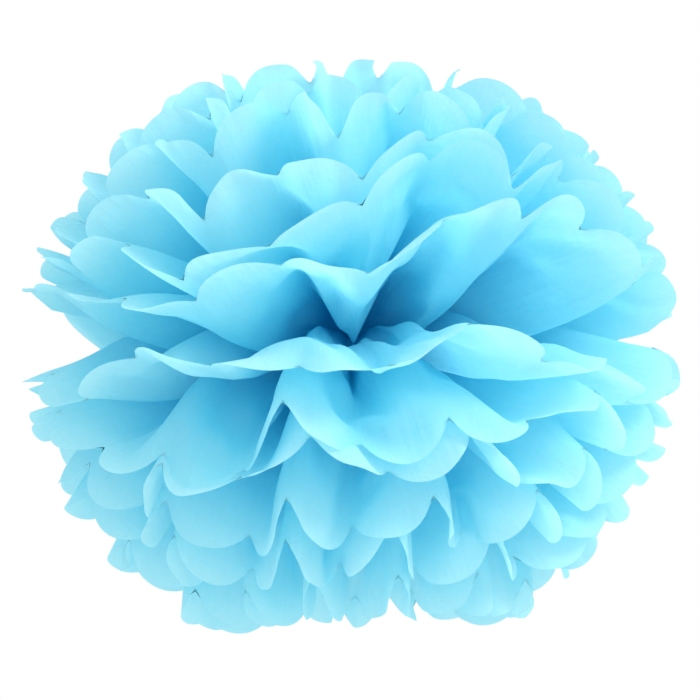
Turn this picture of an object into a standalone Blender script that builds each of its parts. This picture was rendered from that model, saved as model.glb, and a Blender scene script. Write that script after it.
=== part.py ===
"""Tissue paper pom pom: twelve sheets of tissue, pleated together, tied round the middle and opened.

The frame: origin at the middle of the tie, +Z along the pole that the sheets are peeled away from,
Y along the strip that the folded sheets made, X across it. Metres.
"""

import math

import bmesh
import bpy
import numpy as np

# ---- driving dimensions -------------------------------------------------------------------------
PLEATS = 12  # pleats across each sheet
PLEAT_WIDTH = 0.0335
STRIP_LENGTH = 0.250  # each sheet is cut to STRIP_LENGTH by PLEATS * PLEAT_WIDTH
SCALLOP_DEPTH = 0.013  # how deep the rounded end of each pleat is cut
SCALLOP_STEPS = 4  # straight steps along one rounded end
PAPER = 0.00008  # thickness of the solid; the tissue itself is thinner

# the slope that each sheet takes once it is peeled away from its neighbours, lowest sheet first
SLOPES = (-79, -65, -51, -39, -28, -12, 6, 17, 29, 42, 56, 71)
FAN_ANGLE = math.radians(174)  # each half of a sheet opens to nearly half a turn
PEEL_REACH = 0.022  # a sheet leaves the tie level and turns to its slope over about this length

TIE_WIDTH = 0.018  # all the pleats, side by side, where the wire gathers them
TIE_HALF_LENGTH = 0.004  # the sheets run straight for this far each side of the wire
TIE_PLEAT_HEIGHT = 0.0010  # half of a pleat's height inside the tie, where the wire crushes it
SHEET_PITCH = 0.0012  # from one sheet to the next inside the tie
PLEAT_GROWTH = 0.28  # the pleats' half height grows by this much a metre until the paper is flat

# where the rows of points lie along one half of a sheet, measured from the tie
ROWS = (0.0, 0.007, 0.018, 0.044, 0.082)

WIRE_RADIUS = 0.00045
WIRE_GAP = 0.0016  # from the flat sides of the gathered paper to the wire
WIRE_SQUARENESS = 0.3  # 1 is an oval loop, 0 a square one
TWIST_TURNS = 5
TWIST_LENGTH = 0.026

SHEET_COUNT = len(SLOPES)
HALF_LENGTH = STRIP_LENGTH / 2 - TIE_HALF_LENGTH
TISSUE_BLUE = (0.22, 0.72, 0.87, 1.0)
WIRE_GREEN = (0.05, 0.16, 0.07, 1.0)


def clear_scene():
    for old in list(bpy.data.objects):
        bpy.data.objects.remove(old, do_unlink=True)


def new_collection(name):
    group = bpy.data.collections.new(name)
    bpy.context.scene.collection.children.link(group)
    return group


def new_material(name, colour, roughness, metallic):
    mat = bpy.data.materials.new(name)
    mat.use_nodes = True
    shader = mat.node_tree.nodes["Principled BSDF"]
    shader.inputs["Base Color"].default_value = colour
    shader.inputs["Roughness"].default_value = roughness
    shader.inputs["Metallic"].default_value = metallic
    mat.diffuse_color = colour
    return mat


def sheet_spine(slope):
    """The line that a sheet's middle takes from the tie to its rim: level at first, then sloping."""
    steps = 200
    along = np.linspace(0.0, HALF_LENGTH, steps + 1)
    turn = slope * (1.0 - np.exp(-along / PEEL_REACH))
    step = HALF_LENGTH / steps
    middle = (turn[1:] + turn[:-1]) / 2
    out = np.concatenate([[0.0], np.cumsum(np.cos(middle)) * step])
    rise = np.concatenate([[0.0], np.cumsum(np.sin(middle)) * step])
    return along, turn, out, rise


def pleat_half_height(along, out):
    """Half the height of a pleat: the paper is PLEAT_WIDTH wide and the fan leaves it less than that."""
    span = out * FAN_ANGLE / PLEATS
    full = 0.5 * math.sqrt(max(PLEAT_WIDTH**2 - span**2, 0.0))
    return min(full, TIE_PLEAT_HEIGHT + PLEAT_GROWTH * along)


def ridge(pleat):
    """-1 on even creases, +1 on odd ones, and straight between them."""
    return 1.0 - 2.0 * abs(pleat % 2.0 - 1.0)


def fold(sheet, spine, pleat, length):
    """Takes a point of the flat sheet, as pleats across and metres from the tie, to its folded place."""
    along_line, turn_line, out_line, rise_line = spine
    side = 1.0 if length > 0 else -1.0
    along = max(abs(length) - TIE_HALF_LENGTH, 0.0)
    turn, out, rise = (np.interp(along, along_line, line) for line in (turn_line, out_line, rise_line))
    height = ridge(pleat) * pleat_half_height(along, out)
    angle = (pleat / PLEATS - 0.5) * FAN_ANGLE
    reach = out - height * math.sin(turn)
    across = (pleat / PLEATS - 0.5) * TIE_WIDTH
    level = (sheet - (SHEET_COUNT - 1) / 2) * SHEET_PITCH
    return (
        across + reach * math.sin(angle),
        side * (min(abs(length), TIE_HALF_LENGTH) + reach * math.cos(angle)),
        level + rise + height * math.cos(turn),
    )


def rounded_end(pleat):
    """How far short of the sheet's full length its edge lies, for the round end of each pleat."""
    half = PLEAT_WIDTH / 2
    radius = (half**2 + SCALLOP_DEPTH**2) / (2 * SCALLOP_DEPTH)
    offset = (pleat % 1.0 - 0.5) * PLEAT_WIDTH
    return radius - math.sqrt(radius**2 - offset**2)


def flat_sheet():
    """The cut sheet before folding: x in pleats, y in metres from the tie, its two ends scalloped."""
    rows = [-STRIP_LENGTH / 2]
    rows += [-TIE_HALF_LENGTH - row for row in reversed(ROWS)]
    rows += [TIE_HALF_LENGTH + row for row in ROWS]
    rows += [STRIP_LENGTH / 2]
    bm = bmesh.new()
    bmesh.ops.create_grid(bm, x_segments=PLEATS, y_segments=len(rows) - 1, size=1.0)
    for v in bm.verts:
        v.co.x = (v.co.x + 1) / 2 * PLEATS
        v.co.y = rows[round((v.co.y + 1) / 2 * (len(rows) - 1))]
    ends = [e for e in bm.edges if all(abs(abs(v.co.y) - STRIP_LENGTH / 2) < 1e-6 for v in e.verts)]
    bmesh.ops.subdivide_edges(bm, edges=ends, cuts=SCALLOP_STEPS - 1)
    for v in bm.verts:
        if abs(abs(v.co.y) - STRIP_LENGTH / 2) < 1e-6:
            v.co.y -= math.copysign(rounded_end(v.co.x), v.co.y)
    bmesh.ops.triangulate(bm, faces=bm.faces)
    return bm


def make_sheet(index, group, mat):
    bm = flat_sheet()
    spine = sheet_spine(math.radians(SLOPES[index]))
    for v in bm.verts:
        v.co = fold(index, spine, v.co.x, v.co.y)
    bmesh.ops.recalc_face_normals(bm, faces=bm.faces)
    name = f"sheet_{index + 1:02d}"
    mesh = bpy.data.meshes.new(name)
    bm.to_mesh(mesh)
    bm.free()
    sheet = bpy.data.objects.new(name, mesh)
    sheet.data.materials.append(mat)
    group.objects.link(sheet)
    thick = sheet.modifiers.new("paper", "SOLIDIFY")
    thick.thickness = PAPER
    thick.offset = 0.0
    return sheet


def wire_route():
    """One wire: down its own twist, round the gathered pleats and back up the twist."""
    half_width = TIE_WIDTH / 2 + WIRE_GAP
    half_height = (SHEET_COUNT - 1) / 2 * SHEET_PITCH + TIE_PLEAT_HEIGHT + WIRE_GAP
    strand = WIRE_RADIUS * 1.3  # each strand's distance from the middle of the twist
    foot = half_height + 3 * WIRE_RADIUS
    twist = []
    per_turn = 8
    for i in range(TWIST_TURNS * per_turn + 1):
        turn = 2 * math.pi * i / per_turn
        rise = foot + TWIST_LENGTH * i / (TWIST_TURNS * per_turn)
        twist.append((strand * math.cos(turn), strand * math.sin(turn), rise))
    loop = []
    round_steps = 36
    for i in range(1, round_steps):
        angle = math.pi / 2 - 2 * math.pi * i / round_steps
        c, s = math.cos(angle), math.sin(angle)
        x = half_width * math.copysign(abs(c) ** WIRE_SQUARENESS, c)
        z = half_height * math.copysign(abs(s) ** WIRE_SQUARENESS, s)
        loop.append((x, 0.0, z))
    other = [(-x, -y, z) for x, y, z in twist]
    return list(reversed(twist)) + loop + other


def make_tie_wire(group, mat):
    curve = bpy.data.curves.new("tie_wire", "CURVE")
    curve.dimensions = "3D"
    curve.bevel_depth = WIRE_RADIUS
    curve.bevel_resolution = 1
    curve.use_fill_caps = True
    points = wire_route()
    spline = curve.splines.new("POLY")
    spline.points.add(len(points) - 1)
    for point, place in zip(spline.points, points):
        point.co = (*place, 1.0)
    wire = bpy.data.objects.new("tie_wire", curve)
    curve.materials.append(mat)
    group.objects.link(wire)
    return wire


def main():
    clear_scene()
    group = new_collection("tissue_pom_pom")
    tissue = new_material("blue_tissue", TISSUE_BLUE, roughness=0.85, metallic=0.0)
    enamel = new_material("green_enamelled_wire", WIRE_GREEN, roughness=0.45, metallic=0.0)
    for index in range(SHEET_COUNT):
        make_sheet(index, group, tissue)
    make_tie_wire(group, enamel)


main()
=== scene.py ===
# %% [markdown]
# # A tissue paper pom pom
# The real thing is a stack of twelve tissue sheets, pleated together like a paper fan, cut round at both
# ends, tied round the middle with a wire and then opened: each sheet is peeled away from its neighbours
# until the two fans of every sheet have become petals of one ball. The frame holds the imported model:
# one plain solid for each sheet, and the wire. We keep their sizes and give every sheet its real surface.

import math

import bmesh
import bpy
import numpy as np
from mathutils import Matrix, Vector


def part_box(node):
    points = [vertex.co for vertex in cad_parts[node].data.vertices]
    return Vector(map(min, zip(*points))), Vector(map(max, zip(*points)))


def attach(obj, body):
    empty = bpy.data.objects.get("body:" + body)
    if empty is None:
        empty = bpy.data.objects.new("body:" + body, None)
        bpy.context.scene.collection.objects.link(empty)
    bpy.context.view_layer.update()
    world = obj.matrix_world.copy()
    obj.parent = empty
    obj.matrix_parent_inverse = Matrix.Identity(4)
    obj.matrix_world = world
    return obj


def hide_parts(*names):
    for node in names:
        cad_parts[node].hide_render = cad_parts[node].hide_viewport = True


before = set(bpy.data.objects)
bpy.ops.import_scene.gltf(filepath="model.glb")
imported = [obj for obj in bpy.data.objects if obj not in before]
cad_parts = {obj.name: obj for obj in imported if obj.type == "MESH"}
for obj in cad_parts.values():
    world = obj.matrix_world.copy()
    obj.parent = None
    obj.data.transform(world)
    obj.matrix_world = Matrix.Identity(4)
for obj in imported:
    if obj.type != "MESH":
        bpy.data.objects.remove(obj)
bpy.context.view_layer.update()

# %% [markdown]
# ## Camera
# The ball hangs a little above eye level, so we look at its equator from about ten degrees below. A long
# lens keeps the near petals from looking larger than the far ones.

# %% Camera
CAMERA_BELOW = math.radians(10)
LENS_MM = 135.0
SENSOR_MM = 36.0
VIEW_WIDTH = 0.273  # metres across the picture at the ball's middle

scene = bpy.context.scene
distance = VIEW_WIDTH * LENS_MM / SENSOR_MM
aim = Vector((0.0, 0.0, -0.004))
camera_data = bpy.data.cameras.new("camera")
camera_data.lens = LENS_MM
camera_data.sensor_width = SENSOR_MM
camera = bpy.data.objects.new("camera", camera_data)
scene.collection.objects.link(camera)
camera.location = aim + distance * Vector((0.0, -math.cos(CAMERA_BELOW), -math.sin(CAMERA_BELOW)))
camera.rotation_euler = (aim - camera.location).to_track_quat("-Z", "Y").to_euler()
scene.camera = camera
print("camera distance:", round(distance, 3), "m")

# %% [markdown]
# ## The cut sheet
# Each sheet is a rectangle of tissue that is cut round at the two ends of every pleat. We describe half a
# sheet, from the tie to its rim, by a grid: columns across the pleats, rows along the paper. The rows near
# the rim bend to follow the round ends, so the edge of the grid is the cut edge of the paper.

# %% Cut sizes
PLEATS = 12
PLEAT_WIDTH = 0.0335
STRIP_LENGTH = 0.250
SCALLOP_DEPTH = 0.013
TIE_HALF_LENGTH = 0.004
HALF_LENGTH = STRIP_LENGTH / 2 - TIE_HALF_LENGTH
COLUMNS = 8 * PLEATS + 1
ROWS = 31

sheet_names = sorted(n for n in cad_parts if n.startswith("sheet_"))
SHEETS = len(sheet_names)

pleat = np.linspace(0.0, PLEATS, COLUMNS)  # across the sheet, in pleats
share = np.linspace(0.0, 1.0, ROWS)  # along half a sheet, from the tie to the rim


def rounded_end(at):
    """How far short of the full length the paper ends, for an arc over each pleat."""
    half = PLEAT_WIDTH / 2
    radius = (half**2 + SCALLOP_DEPTH**2) / (2 * SCALLOP_DEPTH)
    offset = (at % 1.0 - 0.5) * PLEAT_WIDTH
    return radius - np.sqrt(radius**2 - offset**2)


flat_across = np.broadcast_to(pleat * PLEAT_WIDTH, (ROWS, COLUMNS))
flat_along = share[:, None] * HALF_LENGTH - rounded_end(pleat)[None, :] * share[:, None] ** 5
flat = np.stack([flat_across, flat_along], axis=-1)
flat_area = 2 * np.trapz(flat_along[-1] + TIE_HALF_LENGTH, flat_across[-1])
print("flat sheet:", round(PLEATS * PLEAT_WIDTH, 3), "x", STRIP_LENGTH, "m,", round(flat_area, 4), "m2")

# %% [markdown]
# ## Folding it
# Near the tie the pleats stand close together. Towards the rim the fan opens, and whatever paper it
# doesn't need stays in the folds: little at the equator, where a half circle takes nearly all of it, and
# most of it near the poles. Real hands don't open a pleat as far as the next, so each sheet draws its own
# share of wide and narrow pleats.

# %% Fold a half sheet
FAN_ANGLE = math.radians(186)  # a little over half a turn, so that the two halves meet at their seam
PEEL_REACH = 0.020
TIE_WIDTH = 0.018
SHEET_PITCH = 0.0012
TIE_PLEAT_HEIGHT = 0.0010
PLEAT_GROWTH = 0.40

# how high the rim of each sheet lies, in degrees above the tie, at these azimuths: lowest sheet first
AZIMUTHS = (-90, -65, -40, -25, -10, 5, 20, 35, 60, 90)
FRONT_RIMS = [
    (-70, -71, -71, -70, -70, -69, -67, -64, -64, -67),
    (-52, -56, -58, -60, -58, -55, -57, -57, -54, -51),
    (-36, -43, -47, -50, -50, -43, -43, -46, -46, -38),
    (-27, -34, -39, -39, -33, -31, -33, -35, -36, -28),
    (-19, -27, -33, -31, -26, -25, -26, -23, -24, -19),
    (-9, -14, -13, -12, -10, -10, -9, -11, -12, -10),
    (9, 7, -3, 1, 4, 8, 15, 21, 12, 3),
    (14, 12, 6, 8, 13, 19, 23, 27, 20, 10),
    (22, 20, 17, 19, 23, 29, 32, 33, 27, 17),
    (30, 29, 33, 38, 40, 41, 42, 41, 35, 27),
    (38, 40, 43, 46, 48, 48, 47, 45, 41, 36),
    (48, 51, 55, 59, 61, 61, 60, 57, 52, 46),
]
# the pleats of each sheet that stayed nearly shut, each with the one after it, counted from the left
FRONT_SHUT = (
    (0, 2, 4, 6, 8, 10), (0, 2, 5, 7, 10), (0, 4, 7, 10), (2, 6, 9), (4, 10), (0, 10),
    (0, 4, 6), (5, 10), (3, 10), (2, 5, 8), (1, 4, 7, 10), (0, 2, 5, 7, 10),
)  # fmt: skip
# how far each sheet's creases are turned round from the middle, in degrees
FRONT_TURNS = (4, -5, 1, 9, 4, 9, 5, 0, 3, -4, 5, -3)
# how far each sheet's tips bend up, in degrees: the lower ones droop
TIP_LIFTS = (-8, -16, -16, -16, -14, 18, 18, 18, 16, 12, 0, -18)
# share of the pleats' height that is pressed flat straight in front of the tie
FRONT_PRESSED = (0, 0, 0, 0.1, 0.3, 0.8, 0.4, 0.2, 0, 0, 0, 0)
# share of its length that each sheet still shows: the rest is crumpled up beside the tie
SHOWN = np.array((1.0, 0.99, 0.99, 1.0, 1.0, 1.0, 1.0, 0.99, 0.97, 0.95, 0.93, 0.92))
BACK_SWAY = 5.0  # the far half is not peeled to a plan: its rims sway by about this many degrees
BACK_SHARE = 0.92  # and they stand a little nearer to the equator
RIM_TO_SLOPE = 1.17  # a sheet leaves the tie level, so its slope is more than the rim's elevation
TIP_POWER = 3  # the tips bend by this power of the distance from the tie
HALVES = (-1.0, 1.0)  # the half towards the camera, and the one away from it
OPEN_SPAN = 0.985  # share of its width that a well opened pleat spans at the rim
SHUT_SPAN = 0.45  # and that of a pleat which stayed nearly shut
PAIRING = 0.65  # 0 opens all pleats alike, 1 leaves all spare paper in a few shut pairs
TIP_CURL = math.radians(22)  # the rims curl up or down by about this much
WRINKLE = 0.0022  # metres: how high the wrinkles of handling stand before the paper settles
rng = np.random.default_rng(20)


def rim_line(half, index):
    """The rim's elevation at the azimuths above, in radians."""
    lifts = np.radians(np.array(FRONT_RIMS[index], dtype=float))
    if half == 1:
        sway = math.radians(BACK_SWAY) * rng.uniform(-1, 1, size=len(lifts) - 4)
        lifts[2:-2] = BACK_SHARE * lifts.mean() + sway
    return lifts


def shut_pairs(half, index, total):
    """The first pleats of the pairs that stayed shut: the far half draws enough of them at random."""
    if half == 0:
        return FRONT_SHUT[index]
    count = round((PLEATS * OPEN_SPAN - total) / (2 * (OPEN_SPAN - SHUT_SPAN)))
    count = min(max(count, 1), PLEATS // 2)
    return 2 * rng.permutation(PLEATS // 2)[:count]


def pleat_spans(half, index, lift):
    """The share of the fan that each pleat takes: some stay shut in pairs, the others open almost flat."""
    total = FAN_ANGLE * HALF_LENGTH * math.cos(lift) / PLEAT_WIDTH
    first = shut_pairs(half, index, total)
    spans = np.full(PLEATS, OPEN_SPAN)
    shut = (total - OPEN_SPAN * (PLEATS - 2 * len(first))) / (2 * len(first))
    for pleat_number in first:
        spans[pleat_number : pleat_number + 2] = shut
    middle = np.cos(math.pi * (np.arange(PLEATS) + 0.5 - PLEATS / 2) / (PLEATS / 2))
    spans = (1.0 + 0.04 * middle) * (PAIRING * spans + (1.0 - PAIRING) * total / PLEATS)
    return spans / spans.sum()


def soft_noise(across, along):
    """Random heights over the half sheet, softened over some columns and rows, about 1 high."""
    noise = rng.normal(size=(ROWS, COLUMNS))
    for axis, times in ((1, across), (0, along)):
        for _ in range(times):
            noise = (np.roll(noise, 1, axis) + 2 * noise + np.roll(noise, -1, axis)) / 4
    return noise / noise.std()


def pressed(half, index):
    """The share of the folds' height that is pressed flat: only in front of the tie, not at the rim."""
    if half == 1:
        return np.zeros((ROWS, COLUMNS))
    middle = np.exp(-(((pleat - PLEATS / 2) / 2.6) ** 2))
    return FRONT_PRESSED[index] * middle * np.clip((HALF_LENGTH - flat_along) / 0.05, 0.0, 1.0)


def fold_half(half, index):
    side = HALVES[half]
    lifts = rim_line(half, index)
    along = flat_along * SHOWN[index]

    shares = pleat_spans(half, index, lifts.mean())
    even = (np.arange(PLEATS + 1) / PLEATS - 0.5) * FAN_ANGLE
    uneven = (np.concatenate([[0.0], np.cumsum(shares)]) - 0.5) * FAN_ANGLE
    turned = FRONT_TURNS[index] if half == 0 else rng.uniform(-6, 6)
    uneven[1:-1] += math.radians(turned) * np.cos(even[1:-1]) + math.radians(1.5) * rng.normal(size=PLEATS - 1)
    opened = np.clip(along / HALF_LENGTH, 0.0, 1.0) ** 1.3
    crease = even[None, :] + (uneven - even)[None, :] * opened[:, :1]
    angle = np.stack([np.interp(pleat, np.arange(PLEATS + 1), row) for row in crease])

    # the sheet's middle surface, walked outwards row by row
    reach_share = along / HALF_LENGTH
    bend = math.radians(TIP_LIFTS[index])
    slope = RIM_TO_SLOPE * (np.interp(angle, np.radians(AZIMUTHS), lifts) - bend / (TIP_POWER + 1))
    curls = np.interp(pleat, np.arange(PLEATS + 1), TIP_CURL * rng.normal(size=PLEATS + 1))
    turn = slope * (1.0 - np.exp(-along / PEEL_REACH)) + bend * reach_share**TIP_POWER + curls * reach_share**6
    step, halfway = np.diff(along, axis=0), (turn[1:] + turn[:-1]) / 2
    none = np.zeros((1, COLUMNS))
    out = np.concatenate([none, np.cumsum(np.cos(halfway) * step, axis=0)])
    rise = np.concatenate([none, np.cumsum(np.sin(halfway) * step, axis=0)])

    # the height of every crease: up and down by what the pleat's span leaves of its width
    per_pleat = (COLUMNS - 1) // PLEATS
    middles = out[:, per_pleat // 2 :: per_pleat][:, :PLEATS]
    spans = middles * np.diff(crease, axis=1)
    full = np.sqrt(np.clip(PLEAT_WIDTH**2 - spans**2, 0.0, None))
    full = np.minimum(full, 2 * (TIE_PLEAT_HEIGHT + PLEAT_GROWTH * along[:, :1]))
    up_down = np.where(np.arange(PLEATS) % 2 == 0, 1.0, -1.0)
    height = np.concatenate([np.zeros((ROWS, 1)), np.cumsum(full * up_down, axis=1)], axis=1)
    padded = np.pad(height, ((0, 0), (2, 2)), mode="reflect", reflect_type="odd")
    weights = (1, 4, 6, 4, 1)
    trend = sum(w * padded[:, i : i + PLEATS + 1] for i, w in enumerate(weights)) / sum(weights)
    height = height - trend
    fold = np.stack([np.interp(pleat, np.arange(PLEATS + 1), row) for row in height])
    fold *= 1.0 - pressed(half, index)
    fold += WRINKLE * soft_noise(2, 6) * np.clip(along / 0.06, 0.0, 1.0)

    reach = out - fold * np.sin(turn)
    across = (pleat / PLEATS - 0.5) * TIE_WIDTH
    level = (index - (SHEETS - 1) / 2) * SHEET_PITCH
    return np.stack(
        [
            across + reach * np.sin(angle),
            side * (TIE_HALF_LENGTH + reach * np.cos(angle)),
            level + rise + fold * np.cos(turn),
        ],
        axis=-1,
    )


folded = np.zeros((len(HALVES), SHEETS, ROWS, COLUMNS, 3))
give = np.zeros((len(HALVES), SHEETS, ROWS, COLUMNS))  # where pressed paper need not have its true width
for h, side in enumerate(HALVES):
    for index in range(SHEETS):
        folded[h, index] = fold_half(h, index)
        give[h, index] = np.minimum(1.6 * pressed(h, index), 1.0)
print("folded", 2 * SHEETS, "half sheets of", ROWS, "x", COLUMNS, "points")

# %% [markdown]
# ## Letting the paper settle
# Folding by formula leaves every pleat stiff and alike. Paper bends easily but hardly stretches, so we let
# the grid look for a shape in which edges come back near their true length, sheets keep clear of the next
# one, and bends are spread out. It is the idea of a cloth simulation, done here on whole arrays at once.
# It isn't exact: near the tie the pleats stay gathered, and about a quarter of the paper's area is lost.

# %% Settle
ROUNDS = 120
SEAM_GAP = 0.0006
SEAM_SWAY, SEAM_WAVE = 0.006, 0.075  # how far the seam sways to either side, and its wavelength
TOP_HEIGHT, TOP_CURVE = 0.103, 2.0  # the poles sag to domes: their height, and their fall with distance
BOTTOM_HEIGHT, BOTTOM_CURVE = 0.121, 2.5


def hold(points_a, points_b, rest, firmness):
    """Moves each pair of points towards its true distance, half of the way each."""
    gap = points_b - points_a
    length = np.sqrt((gap**2).sum(axis=-1)) + 1e-9
    move = (0.5 * firmness * (1.0 - rest / length))[..., None] * gap
    points_a += move
    points_b -= move


def lengths(grid, dr, dc):
    """Distances from each point to the one dr rows and dc columns on."""
    r, c = grid.shape[-3], grid.shape[-2]
    if dc >= 0:
        a, b = grid[..., : r - dr, : c - dc, :], grid[..., dr:, dc:, :]
    else:
        a, b = grid[..., : r - dr, -dc:, :], grid[..., dr:, : c + dc, :]
    return np.sqrt(((a - b) ** 2).sum(-1))


def true_lengths(dr, dc):
    """The cut paper's own distances, but near the tie those of the gathered folds."""
    shown = np.stack([flat * (1.0, s) for s in SHOWN])
    paper = lengths(shown, dr, dc)
    gathered = lengths(folded, dr, dc)
    r, c = paper.shape[-2:]
    at = flat_along[:r, :c]
    blend = np.clip((at - 0.016) / 0.030, 0.0, 1.0) * (1.0 - give[..., :r, :c])
    return gathered + (paper - gathered) * blend


def settle(points):
    across, along = true_lengths(0, 1), true_lengths(1, 0)
    slant, other = true_lengths(1, 1), true_lengths(1, -1)
    along_two, across_two = true_lengths(2, 0), true_lengths(0, 2)
    inside = np.ones(COLUMNS - 2)
    inside[(COLUMNS - 1) // PLEATS - 1 :: (COLUMNS - 1) // PLEATS] = 0.0  # creases stay free to fold
    # near the rim the creases have been pulled open, and the paper springs back towards flat
    opened = np.clip((flat_along[:, 1:-1] - 0.06) / 0.06, 0.0, 1.0)
    across_firm = 0.15 * (inside + (1.0 - inside) * opened)
    start = points.copy()
    fixed_rows = int(0.016 / HALF_LENGTH * (ROWS - 1)) + 1
    for n in range(ROUNDS):
        pull = 0.02 * (1.0 - n / ROUNDS)
        points += pull * (start - points)
        for first in (0, 1):
            a, b = points[..., first:-1:2, :], points[..., first + 1 :: 2, :]
            hold(a, b[..., : a.shape[-2], :], across[..., first::2], 1.0)
        for first in (0, 1):
            a, b = points[..., first:-1:2, :, :], points[..., first + 1 :: 2, :, :]
            hold(a, b[..., : a.shape[-3], :, :], along[..., first::2, :], 1.0)
        hold(points[..., :-1, :-1, :], points[..., 1:, 1:, :], slant, 0.5)
        hold(points[..., :-1, 1:, :], points[..., 1:, :-1, :], other, 0.5)
        hold(points[..., :-2, :, :], points[..., 2:, :, :], along_two, 0.25)
        hold(points[..., :-2, :], points[..., 2:, :], across_two, across_firm)
        if n % 2 == 0:
            part_neighbours(points)
        keep_seam(points)
        keep_round(points)
        points[..., :fixed_rows, :, :] = start[..., :fixed_rows, :, :]
    return points


def keep_seam(points):
    """Keeps the two halves apart along a wavy seam, as their petals lean over each other in turn."""
    far = np.clip(np.hypot(points[..., 0], points[..., 2]) / HALF_LENGTH - 0.2, 0.0, 1.0)
    height = points[..., 2] * np.where(points[..., 0] > 0, 1.0, -1.0)
    seam = SEAM_SWAY * far * np.sin(2 * math.pi * height / SEAM_WAVE)
    for h, side in enumerate(HALVES):
        points[h, ..., 1] = seam[h] + side * np.maximum(side * (points[h, ..., 1] - seam[h]), SEAM_GAP)


def keep_round(points):
    """Weighs the petals at the poles down to low domes, a little each time."""
    wide = points[..., 0] ** 2 + points[..., 1] ** 2
    over = np.clip(points[..., 2] - (TOP_HEIGHT - TOP_CURVE * wide), 0.0, None)
    under = np.clip(-points[..., 2] - (BOTTOM_HEIGHT - BOTTOM_CURVE * wide), 0.0, None)
    points[..., 2] += 0.3 * (under - over)


def part_neighbours(points):
    """Pushes sheets apart where one has come through the next, along the row they share."""
    x, y, z = points[..., 0], np.abs(points[..., 1]), points[..., 2]
    around = np.maximum.accumulate(np.arctan2(x, y), axis=-1) + np.arange(COLUMNS) * 1e-7
    out = np.hypot(x, y)
    tilt = np.arctan2(z, out)
    far = np.hypot(out, z) + 1e-6
    shift = np.zeros_like(tilt)
    for h in range(len(HALVES)):
        for k in range(SHEETS - 1):
            for r in range(6, ROWS):
                gap = 0.0012 / far[h, k, r].mean()
                low, high = tilt[h, k, r], tilt[h, k + 1, r]
                over = np.interp(around[h, k, r], around[h, k + 1, r], high)
                under = np.interp(around[h, k + 1, r], around[h, k, r], low)
                shift[h, k, r] -= 0.5 * np.clip(low + gap - over, 0.0, None)
                shift[h, k + 1, r] += 0.5 * np.clip(under + gap - high, 0.0, None)
    move = far * shift
    safe = np.maximum(out, 1e-6)
    points[..., 0] -= move * np.sin(tilt) * x / safe
    points[..., 1] -= move * np.sin(tilt) * points[..., 1] / safe
    points[..., 2] += move * np.cos(tilt)


settled = settle(folded.copy())
area_shares = []
for index in range(SHEETS):
    area = 0.0
    for h in range(len(HALVES)):
        grid = settled[h, index]
        across_edge, along_edge = grid[:-1, 1:] - grid[:-1, :-1], grid[1:, :-1] - grid[:-1, :-1]
        area += np.linalg.norm(np.cross(across_edge, along_edge), axis=-1).sum()
    area_shares.append(round(float(area / flat_area), 2))
print("share of the cut area that shows:", area_shares)
print("stretch left:", float(np.abs(lengths(settled, 0, 1) / true_lengths(0, 1) - 1).mean().round(4)))

# %% [markdown]
# ## The sheets as meshes
# A flat grid gets its columns and rows from bmesh, and its points are then carried to their settled places.
# Each point also keeps its place on the cut paper as a UV map, so patterns are drawn on the paper and not
# through the ball. The corners between two rounded ends are kept sharp when the surface is subdivided.

# %% Build a sheet


def tissue_sheet(index, mat):
    bm = bmesh.new()
    rows = 2 * ROWS
    bmesh.ops.create_grid(bm, x_segments=COLUMNS - 1, y_segments=rows - 1, size=1.0)
    uv = bm.loops.layers.uv.new("paper")
    corner = bm.verts.layers.float.new("crease_vert")
    place = {}
    for v in bm.verts:
        c = round((v.co.x + 1) / 2 * (COLUMNS - 1))
        r = round((v.co.y + 1) / 2 * (rows - 1))
        half, row = (0, ROWS - 1 - r) if r < ROWS else (1, r - ROWS)
        v.co = settled[half, index, row, c]
        sign = -1 if half == 0 else 1
        place[v] = (flat[row, c, 0], sign * (flat[row, c, 1] + TIE_HALF_LENGTH))
    for face in bm.faces:
        face.smooth = True
        for loop in face.loops:
            loop[uv].uv = place[loop.vert]
    per_pleat = (COLUMNS - 1) // PLEATS
    for v in bm.verts:
        c = round(place[v][0] / PLEAT_WIDTH * per_pleat)
        if v.is_boundary and c % per_pleat == 0:
            v[corner] = 1.0
    mesh = bpy.data.meshes.new(f"tissue_{index + 1:02d}")
    bm.to_mesh(mesh)
    bm.free()
    sheet = bpy.data.objects.new(mesh.name, mesh)
    mesh.materials.append(mat)
    scene.collection.objects.link(sheet)
    smooth = sheet.modifiers.new("smooth", "SUBSURF")
    smooth.levels = smooth.render_levels = 1
    smooth.boundary_smooth = "ALL"
    return sheet


# %% [markdown]
# ## Tissue paper
# Tissue is thin pulp that lets about half of the light through. That is what makes the ball glow: light
# crosses many layers and is tinted each time, so deep folds turn a strong blue while single layers at the
# rims look pale. The colour is also painted paler from the tie out to the rims: painted light on the thin
# rims and painted shade in the gathers. A cloudy pulp, pulled streaks and a fine crumple give the surface its
# grain.

# %% Tissue material


def linear(hex_colour):
    """An sRGB hex colour as Blender's linear one."""
    values = [int(hex_colour[i : i + 2], 16) / 255 for i in (1, 3, 5)]
    return tuple(c / 12.92 if c <= 0.04045 else ((c + 0.055) / 1.055) ** 2.4 for c in values) + (1.0,)


def add_node(tree, kind, links=(), **settings):
    """One node, with its settings, and its inputs linked or set."""
    node = tree.nodes.new(kind)
    for name, value in settings.items():
        setattr(node, name, value)
    for name, value in dict(links).items():
        socket = node.inputs[name]
        if kind == "ShaderNodeMix" and name in ("A", "B"):
            socket = [s for s in node.inputs if s.name == name and s.type == "RGBA"][0]
        if isinstance(value, bpy.types.NodeSocket):
            tree.links.new(value, socket)
        else:
            socket.default_value = value
    return node


def colour_out(mix):
    """The colour output of a Mix node, which has one output of each type under the same name."""
    return [out for out in mix.outputs if out.type == "RGBA"][0]


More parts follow.
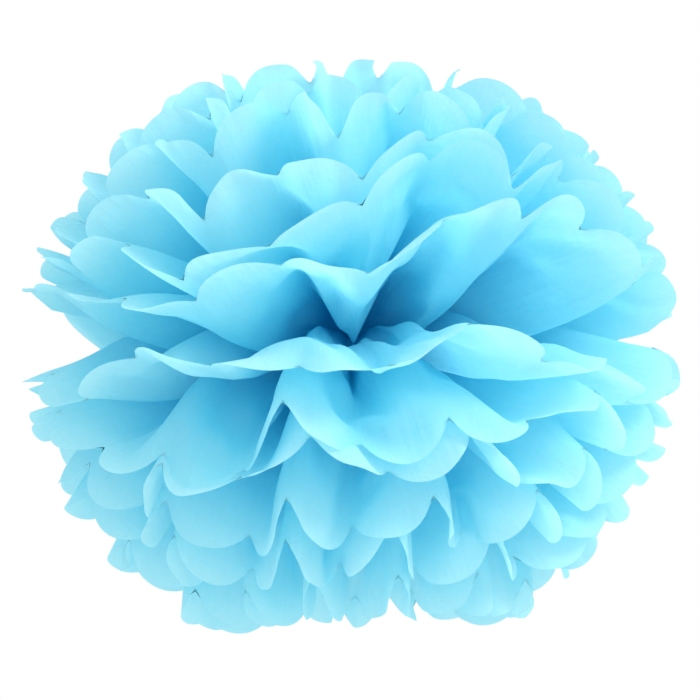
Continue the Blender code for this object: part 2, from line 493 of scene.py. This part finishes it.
def blue_tissue():
    mat = bpy.data.materials.new("blue_tissue_paper")
    mat.use_nodes = True
    tree = mat.node_tree
    tree.nodes.clear()
    paper_map = add_node(tree, "ShaderNodeUVMap", uv_map="paper").outputs["UV"]

    # fibres: a cloudy pulp, 3 mm across, that lets a little more or less light through, over a colour painted
    # paler from the tie out to the rims: painted light on the thin rims, painted shade in the gathers
    cloud = add_node(tree, "ShaderNodeTexNoise", {"Vector": paper_map, "Scale": 1 / 0.003, "Detail": 4.0})
    streaks = add_node(tree, "ShaderNodeMapping", {"Vector": paper_map, "Scale": (1 / 0.004, 1 / 0.045, 1.0)})
    pull = add_node(tree, "ShaderNodeTexNoise", {"Vector": streaks.outputs[0], "Scale": 1.0, "Detail": 3.0})
    along = add_node(tree, "ShaderNodeSeparateXYZ", {0: paper_map}).outputs["Y"]
    from_tie = add_node(tree, "ShaderNodeMath", {0: along}, operation="ABSOLUTE").outputs[0]
    # mostly the distance from the tie, with a little pulp cloud on top: painted light that grows towards the
    # rims
    pulp_plus_painted_rim_light = add_node(
        tree, "ShaderNodeMath", {0: cloud.outputs[0], 1: 0.03, 2: from_tie}, operation="MULTIPLY_ADD"
    ).outputs[0]
    painted_rim_light_and_pulp_share = add_node(
        tree, "ShaderNodeMapRange", {"Value": pulp_plus_painted_rim_light, "From Min": 0.05, "From Max": 0.14}
    ).outputs[0]
    # painted light and shade: deeper blue at the tie as painted shade in the gathers, pale blue at the rims as
    # painted light
    tint = add_node(
        tree,
        "ShaderNodeMix",
        {"Factor": painted_rim_light_and_pulp_share, "A": linear("#8ceefb"), "B": linear("#bff5fc")},
        data_type="RGBA",
    )
    tint_out = colour_out(tint)

    # handling: creases along the paper from pleating, and a fine crumple
    crumple = add_node(tree, "ShaderNodeTexNoise", {"Vector": paper_map, "Scale": 1 / 0.009, "Detail": 5.0})
    relief = add_node(tree, "ShaderNodeMath", {0: pull.outputs[0], 1: crumple.outputs[0]}, operation="ADD")
    bump = add_node(
        tree, "ShaderNodeBump", {"Height": relief.outputs[0], "Strength": 0.6, "Distance": 0.0012}
    ).outputs[0]
    paper = add_node(
        tree,
        "ShaderNodeBsdfPrincipled",
        {
            "Base Color": tint_out,
            "Roughness": 0.8,
            "Specular IOR Level": 0.15,
            "Normal": bump,
            # a faint glow stands in for light that has crossed more layers than are followed
            "Emission Color": linear("#00b4ff"),
            "Emission Strength": 0.03,
        },
    )
    glow = add_node(tree, "ShaderNodeBsdfTranslucent", {"Color": tint_out, "Normal": bump})
    mix = add_node(tree, "ShaderNodeMixShader", {0: 0.58, 1: paper.outputs[0], 2: glow.outputs[0]})
    add_node(tree, "ShaderNodeOutputMaterial", {"Surface": mix.outputs[0]})
    return mat


tissue = blue_tissue()
print("tissue nodes:", len(tissue.node_tree.nodes))

# %% [markdown]
# ## Put the sheets in the frame
# Every visible sheet stands for one plain solid of the frame and hides it. Measured against the flat cut,
# seven to eight tenths of the paper shows here, the rest is in the gathers.

# %% Sheets
for index, name in enumerate(sheet_names):
    sheet = tissue_sheet(index, tissue)
    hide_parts(name)
    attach(sheet, "root")
print("sheets built:", SHEETS)

# %% [markdown]
# ## Tie wire
# The frame's own wire is already in its true form, so it is kept and only gets its real finish: florist's
# wire, dipped in green enamel. The dip leaves slow swells of gloss along the wire.

# %% Wire material


def enamelled_wire():
    mat = bpy.data.materials.new("green_enamelled_wire")
    mat.use_nodes = True
    tree = mat.node_tree
    tree.nodes.clear()
    place = add_node(tree, "ShaderNodeTexCoord").outputs["Object"]
    dips = add_node(tree, "ShaderNodeTexNoise", {"Vector": place, "Scale": 1 / 0.004, "Detail": 2.0})
    shades = {"Factor": dips.outputs[0], "A": linear("#355c3c"), "B": linear("#42704a")}
    green = add_node(tree, "ShaderNodeMix", shades, data_type="RGBA")
    swell = add_node(tree, "ShaderNodeBump", {"Height": dips.outputs[0], "Strength": 0.3, "Distance": 0.0001})
    enamel = {"Base Color": colour_out(green), "Roughness": 0.4, "Normal": swell.outputs[0]}
    shader = add_node(tree, "ShaderNodeBsdfPrincipled", enamel)
    add_node(tree, "ShaderNodeOutputMaterial", {"Surface": shader.outputs[0]})
    return mat


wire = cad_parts["tie_wire"]
wire.data.materials.clear()
wire.data.materials.append(enamelled_wire())
wire_low, wire_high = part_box("tie_wire")
print("wire height in mm:", round(1000 * (wire_high[2] - wire_low[2])))

# %% [markdown]
# ## Floor and light
# The ball hangs well clear of a pale floor in a white room, which lights it from all round. One soft lamp,
# high on the right and a little in front, makes that side nearly white and leaves the left side bluer.

# %% Floor
FLOOR_LEVEL = -0.42
FLOOR_HALF_WIDTH = 4.0
FLOOR_WHITE = linear("#f3f3f3")

bm = bmesh.new()
bmesh.ops.create_grid(bm, x_segments=1, y_segments=1, size=FLOOR_HALF_WIDTH)
bmesh.ops.translate(bm, verts=bm.verts, vec=(0.0, 0.0, FLOOR_LEVEL))
floor_mesh = bpy.data.meshes.new("floor")
bm.to_mesh(floor_mesh)
bm.free()
floor = bpy.data.objects.new("floor", floor_mesh)
scene.collection.objects.link(floor)
pale = bpy.data.materials.new("pale_floor")
pale.use_nodes = True
pale.node_tree.nodes["Principled BSDF"].inputs["Base Color"].default_value = FLOOR_WHITE
floor_mesh.materials.append(pale)
print("floor lies", round(-FLOOR_LEVEL, 2), "m below the tie")

# %% Light
ROOM_STRENGTH = 1.0
LAMP_PLACE = Vector((1.0, -0.7, 0.8))
LAMP_WIDTH = 0.6
LAMP_WATTS = 12.0
LAYERS_CROSSED = 12  # light is followed through this many bounces, so that deep folds stay bright

world = bpy.data.worlds.new("white_room")
world.use_nodes = True
world.node_tree.nodes["Background"].inputs["Color"].default_value = linear("#ffffff")
world.node_tree.nodes["Background"].inputs["Strength"].default_value = ROOM_STRENGTH
scene.world = world

lamp_data = bpy.data.lights.new("soft_lamp", "AREA")
lamp_data.shape = "DISK"
lamp_data.size = LAMP_WIDTH
lamp_data.energy = LAMP_WATTS
lamp = bpy.data.objects.new("soft_lamp", lamp_data)
lamp.location = LAMP_PLACE
lamp.rotation_euler = (-LAMP_PLACE).to_track_quat("-Z", "Y").to_euler()
scene.collection.objects.link(lamp)
scene.view_settings.view_transform = "Standard"
scene.cycles.diffuse_bounces = LAYERS_CROSSED
print("lamp is", round(LAMP_PLACE.length, 2), "m away")
